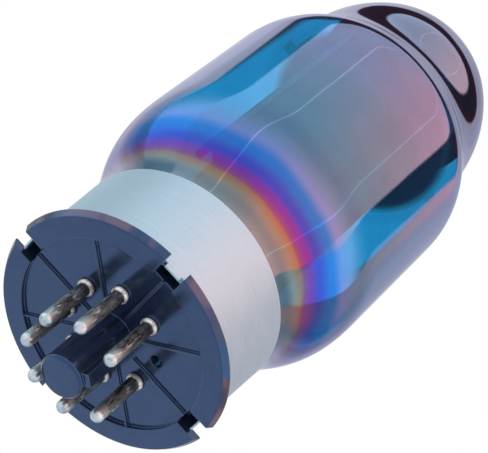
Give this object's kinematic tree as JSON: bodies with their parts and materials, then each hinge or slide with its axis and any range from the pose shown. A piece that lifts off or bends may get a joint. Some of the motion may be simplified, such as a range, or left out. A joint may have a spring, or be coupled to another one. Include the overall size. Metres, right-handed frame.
{
  "type": "vacuum tube",
  "caption": "Octal-base power vacuum tube with a metal collar, a coated domed glass bulb and a full beam-tetrode electrode cage inside.",
  "frame": {"origin": "on the tube axis in the plane of the flange face that seats on the socket", "axes": "+Z along the tube axis from the seat to the dome, pins pointing to -Z, locating key towards -Y"},
  "size_m": [0.0522, 0.0522, 0.1232],
  "materials": {
    "black_phenolic": "polished black moulding",
    "collar_aluminium": "satin, turned",
    "base_cement": "matte cement",
    "coated_glass": "reflective blue and violet interference coat",
    "clear_glass": "clear",
    "tinned_pin": "dull tin plate",
    "solder": "bright solder",
    "mica": "split mica sheet",
    "carbonised_metal": "carbonised, matte",
    "bright_nickel": "plain nickel",
    "grid_wire": "plated wire",
    "cathode_coating": "sprayed oxide",
    "heater_coating": "white alumina",
    "getter_mirror": "evaporated metal film"
  },
  "bodies": {
    "root": {"anode_back": "carbonised_metal", "anode_front": "carbonised_metal", "anode_rod_left": "bright_nickel", "anode_rod_right": "bright_nickel", "anode_tie": "bright_nickel", "base_collar": "collar_aluminium", "base_wafer": "black_phenolic", "beam_plate_left": "bright_nickel", "beam_plate_right": "bright_nickel", "cathode_sleeve": "cathode_coating", "cathode_tie": "bright_nickel", "cement_ring": "base_cement", "control_grid": "grid_wire", "control_tie": "bright_nickel", "exhaust_tube": "clear_glass", "getter_film": "getter_mirror", "getter_post_left": "bright_nickel", "getter_post_right": "bright_nickel", "getter_ring_left": "bright_nickel", "getter_ring_right": "bright_nickel", "glass_envelope": "coated_glass", "glass_stem": "clear_glass", "grid_radiator_left": "carbonised_metal", "grid_radiator_right": "carbonised_metal", "heater": "heater_coating", "heater_tie_left": "bright_nickel", "heater_tie_right": "bright_nickel", "lead_wire_2": "bright_nickel", "lead_wire_3": "bright_nickel", "lead_wire_4": "bright_nickel", "lead_wire_5": "bright_nickel", "lead_wire_7": "bright_nickel", "lead_wire_8": "bright_nickel", "mica_bottom": "mica", "mica_top": "mica", "pin_2": "tinned_pin", "pin_3": "tinned_pin", "pin_4": "tinned_pin", "pin_5": "tinned_pin", "pin_6": "tinned_pin", "pin_7": "tinned_pin", "pin_8": "tinned_pin", "pin_solder": "solder", "screen_grid": "grid_wire", "screen_tie": "bright_nickel"}
  },
  "joints": []
}
